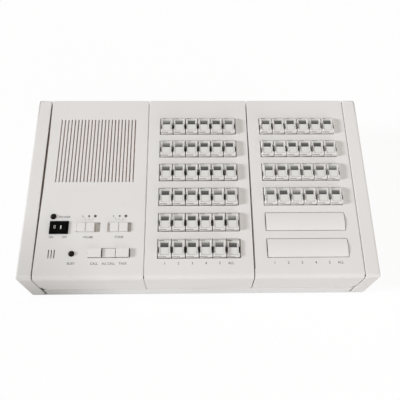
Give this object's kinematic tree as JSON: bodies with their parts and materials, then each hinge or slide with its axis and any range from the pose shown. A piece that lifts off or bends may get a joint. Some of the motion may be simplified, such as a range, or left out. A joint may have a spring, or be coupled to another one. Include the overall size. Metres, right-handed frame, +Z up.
{
  "type": "desk intercom console",
  "caption": "Sloping desk intercom master console with a speaker and control faceplate, two faceplates of push station keys, end cheeks and a flat base.",
  "frame": {"origin": "on the table, under the middle of the case", "axes": "+X to the user's right along the length, +Y to the back, +Z up"},
  "size_m": [0.3944, 0.2204, 0.0903],
  "materials": {
    "case_plastic": "fine satin texture",
    "base_plastic": "fine satin texture",
    "key_plastic": "smooth satin",
    "plated_steel": "zinc plated",
    "ferrite": "sintered black",
    "cone_paper": "pressed black paper",
    "board_green": "glass epoxy with lacquer",
    "switch_black": "moulded black",
    "rocker_black": "polished black",
    "lamp_dark": "dark red lens in a black collar",
    "rubber_black": "matt",
    "connector_black": "moulded black",
    "ribbon_grey": "vinyl",
    "screw_steel": "zinc plated"
  },
  "bodies": {
    "case": {"base_tray": "base_plastic", "left_cheek": "case_plastic", "right_cheek": "case_plastic", "control_faceplate": "case_plastic", "middle_faceplate": "case_plastic", "right_faceplate": "case_plastic", "blanking_plates": "key_plastic", "rear_panel": "base_plastic", "speaker_frame": "plated_steel", "speaker_magnet": "ferrite", "speaker_cone": "cone_paper", "control_board": "board_green", "key_boards": "board_green", "push_switches": "switch_black", "slide_switches": "switch_black", "power_switch_frame": "rocker_black", "indicator_lamps": "lamp_dark", "microphone": "rubber_black", "line_connectors": "connector_black", "dc_inlet": "connector_black", "wiring_ribbons": "ribbon_grey", "rubber_feet": "rubber_black", "case_screws": "screw_steel", "board_screws": "screw_steel"},
    "call_button": {"call_button": "key_plastic"},
    "all_call_button": {"all_call_button": "key_plastic"},
    "talk_button": {"talk_button": "key_plastic"},
    "voice_slider": {"voice_slider": "key_plastic"},
    "tone_slider": {"tone_slider": "key_plastic"},
    "power_rocker": {"power_rocker": "rocker_black"},
    "row1_key1": {"row1_key1": "key_plastic"},
    "row1_key2": {"row1_key2": "key_plastic"},
    "row1_key3": {"row1_key3": "key_plastic"},
    "row1_key4": {"row1_key4": "key_plastic"},
    "row1_key5": {"row1_key5": "key_plastic"},
    "row1_all_key": {"row1_all_key": "key_plastic"},
    "row2_key1": {"row2_key1": "key_plastic"},
    "row2_key2": {"row2_key2": "key_plastic"},
    "row2_key3": {"row2_key3": "key_plastic"},
    "row2_key4": {"row2_key4": "key_plastic"},
    "row2_key5": {"row2_key5": "key_plastic"},
    "row2_all_key": {"row2_all_key": "key_plastic"},
    "row3_key1": {"row3_key1": "key_plastic"},
    "row3_key2": {"row3_key2": "key_plastic"},
    "row3_key3": {"row3_key3": "key_plastic"},
    "row3_key4": {"row3_key4": "key_plastic"},
    "row3_key5": {"row3_key5": "key_plastic"},
    "row3_all_key": {"row3_all_key": "key_plastic"},
    "row4_key1": {"row4_key1": "key_plastic"},
    "row4_key2": {"row4_key2": "key_plastic"},
    "row4_key3": {"row4_key3": "key_plastic"},
    "row4_key4": {"row4_key4": "key_plastic"},
    "row4_key5": {"row4_key5": "key_plastic"},
    "row4_all_key": {"row4_all_key": "key_plastic"},
    "row5_keys": {"row5_keys": "key_plastic"},
    "row6_keys": {"row6_keys": "key_plastic"},
    "right_row3_keys": {"right_row3_keys": "key_plastic"},
    "right_row4_keys": {"right_row4_keys": "key_plastic"},
    "right_row5_keys": {"right_row5_keys": "key_plastic"},
    "right_row6_keys": {"right_row6_keys": "key_plastic"}
  },
  "joints": [
    {"name": "row1_key1_press", "type": "slide", "parent": "case", "child": "row1_key1", "axis": [0, 0.1392, -0.9903], "range_m": [0, 0.0035], "stiffness_N_per_m": 300, "springref_m": -0.003},
    {"name": "row1_key2_press", "type": "slide", "parent": "case", "child": "row1_key2", "axis": [0, 0.1392, -0.9903], "range_m": [0, 0.0035], "stiffness_N_per_m": 300, "springref_m": -0.003},
    {"name": "row1_key3_press", "type": "slide", "parent": "case", "child": "row1_key3", "axis": [0, 0.1392, -0.9903], "range_m": [0, 0.0035], "stiffness_N_per_m": 300, "springref_m": -0.003},
    {"name": "row1_key4_press", "type": "slide", "parent": "case", "child": "row1_key4", "axis": [0, 0.1392, -0.9903], "range_m": [0, 0.0035], "stiffness_N_per_m": 300, "springref_m": -0.003},
    {"name": "row1_key5_press", "type": "slide", "parent": "case", "child": "row1_key5", "axis": [0, 0.1392, -0.9903], "range_m": [0, 0.0035], "stiffness_N_per_m": 300, "springref_m": -0.003},
    {"name": "row1_all_key_press", "type": "slide", "parent": "case", "child": "row1_all_key", "axis": [0, 0.1392, -0.9903], "range_m": [-0.0022, 0.0013]},
    {"name": "row2_key1_press", "type": "slide", "parent": "case", "child": "row2_key1", "axis": [0, 0.1392, -0.9903], "range_m": [0, 0.0035], "stiffness_N_per_m": 300, "springref_m": -0.003},
    {"name": "row2_key2_press", "type": "slide", "parent": "case", "child": "row2_key2", "axis": [0, 0.1392, -0.9903], "range_m": [0, 0.0035], "stiffness_N_per_m": 300, "springref_m": -0.003},
    {"name": "row2_key3_press", "type": "slide", "parent": "case", "child": "row2_key3", "axis": [0, 0.1392, -0.9903], "range_m": [0, 0.0035], "stiffness_N_per_m": 300, "springref_m": -0.003},
    {"name": "row2_key4_press", "type": "slide", "parent": "case", "child": "row2_key4", "axis": [0, 0.1392, -0.9903], "range_m": [0, 0.0035], "stiffness_N_per_m": 300, "springref_m": -0.003},
    {"name": "row2_key5_press", "type": "slide", "parent": "case", "child": "row2_key5", "axis": [0, 0.1392, -0.9903], "range_m": [0, 0.0035], "stiffness_N_per_m": 300, "springref_m": -0.003},
    {"name": "row2_all_key_press", "type": "slide", "parent": "case", "child": "row2_all_key", "axis": [0, 0.1392, -0.9903], "range_m": [0, 0.0035], "stiffness_N_per_m": 300, "springref_m": -0.003},
    {"name": "row3_key1_press", "type": "slide", "parent": "case", "child": "row3_key1", "axis": [0, 0.1392, -0.9903], "range_m": [0, 0.0035], "stiffness_N_per_m": 300, "springref_m": -0.003},
    {"name": "row3_key2_press", "type": "slide", "parent": "case", "child": "row3_key2", "axis": [0, 0.1392, -0.9903], "range_m": [0, 0.0035], "stiffness_N_per_m": 300, "springref_m": -0.003},
    {"name": "row3_key3_press", "type": "slide", "parent": "case", "child": "row3_key3", "axis": [0, 0.1392, -0.9903], "range_m": [0, 0.0035], "stiffness_N_per_m": 300, "springref_m": -0.003},
    {"name": "row3_key4_press", "type": "slide", "parent": "case", "child": "row3_key4", "axis": [0, 0.1392, -0.9903], "range_m": [0, 0.0035], "stiffness_N_per_m": 300, "springref_m": -0.003},
    {"name": "row3_key5_press", "type": "slide", "parent": "case", "child": "row3_key5", "axis": [0, 0.1392, -0.9903], "range_m": [0, 0.0035], "stiffness_N_per_m": 300, "springref_m": -0.003},
    {"name": "row3_all_key_press", "type": "slide", "parent": "case", "child": "row3_all_key", "axis": [0, 0.1392, -0.9903], "range_m": [0, 0.0035], "stiffness_N_per_m": 300, "springref_m": -0.003},
    {"name": "row4_key1_press", "type": "slide", "parent": "case", "child": "row4_key1", "axis": [0, 0.1392, -0.9903], "range_m": [0, 0.0035], "stiffness_N_per_m": 300, "springref_m": -0.003},
    {"name": "row4_key2_press", "type": "slide", "parent": "case", "child": "row4_key2", "axis": [0, 0.1392, -0.9903], "range_m": [0, 0.0035], "stiffness_N_per_m": 300, "springref_m": -0.003},
    {"name": "row4_key3_press", "type": "slide", "parent": "case", "child": "row4_key3", "axis": [0, 0.1392, -0.9903], "range_m": [0, 0.0035], "stiffness_N_per_m": 300, "springref_m": -0.003},
    {"name": "row4_key4_press", "type": "slide", "parent": "case", "child": "row4_key4", "axis": [0, 0.1392, -0.9903], "range_m": [0, 0.0035], "stiffness_N_per_m": 300, "springref_m": -0.003},
    {"name": "row4_key5_press", "type": "slide", "parent": "case", "child": "row4_key5", "axis": [0, 0.1392, -0.9903], "range_m": [0, 0.0035], "stiffness_N_per_m": 300, "springref_m": -0.003},
    {"name": "row4_all_key_press", "type": "slide", "parent": "case", "child": "row4_all_key", "axis": [0, 0.1392, -0.9903], "range_m": [0, 0.0035], "stiffness_N_per_m": 300, "springref_m": -0.003},
    {"name": "row5_keys_press", "type": "slide", "parent": "case", "child": "row5_keys", "axis": [0, 0.1392, -0.9903], "range_m": [0, 0.0035], "stiffness_N_per_m": 1800, "springref_m": -0.003},
    {"name": "row6_keys_press", "type": "slide", "parent": "case", "child": "row6_keys", "axis": [0, 0.1392, -0.9903], "range_m": [0, 0.0035], "stiffness_N_per_m": 1800, "springref_m": -0.003},
    {"name": "right_row3_keys_press", "type": "slide", "parent": "case", "child": "right_row3_keys", "axis": [0, 0.1392, -0.9903], "range_m": [0, 0.0035], "stiffness_N_per_m": 1800, "springref_m": -0.003},
    {"name": "right_row4_keys_press", "type": "slide", "parent": "case", "child": "right_row4_keys", "axis": [0, 0.1392, -0.9903], "range_m": [0, 0.0035], "stiffness_N_per_m": 1800, "springref_m": -0.003},
    {"name": "right_row5_keys_press", "type": "slide", "parent": "case", "child": "right_row5_keys", "axis": [0, 0.1392, -0.9903], "range_m": [0, 0.0035], "stiffness_N_per_m": 1800, "springref_m": -0.003},
    {"name": "right_row6_keys_press", "type": "slide", "parent": "case", "child": "right_row6_keys", "axis": [0, 0.1392, -0.9903], "range_m": [0, 0.0035], "stiffness_N_per_m": 1800, "springref_m": -0.003},
    {"name": "call_button_press", "type": "slide", "parent": "case", "child": "call_button", "axis": [0, 0.1392, -0.9903], "range_m": [0, 0.003], "stiffness_N_per_m": 300, "springref_m": -0.003},
    {"name": "all_call_button_press", "type": "slide", "parent": "case", "child": "all_call_button", "axis": [0, 0.1392, -0.9903], "range_m": [0, 0.003], "stiffness_N_per_m": 300, "springref_m": -0.003},
    {"name": "talk_button_press", "type": "slide", "parent": "case", "child": "talk_button", "axis": [0, 0.1392, -0.9903], "range_m": [0, 0.003], "stiffness_N_per_m": 300, "springref_m": -0.003},
    {"name": "voice_slide", "type": "slide", "parent": "case", "child": "voice_slider", "axis": [1, 0, 0], "range_m": [0, 0.005]},
    {"name": "tone_slide", "type": "slide", "parent": "case", "child": "tone_slider", "axis": [1, 0, 0], "range_m": [-0.0025, 0.0025]},
    {"name": "rocker_turn", "type": "hinge", "parent": "case", "child": "power_rocker", "pos_m": [-0.1555, -0.05289, 0.06554], "axis": [0, -0.9903, -0.1392], "range_deg": [0, 15]}
  ]
}
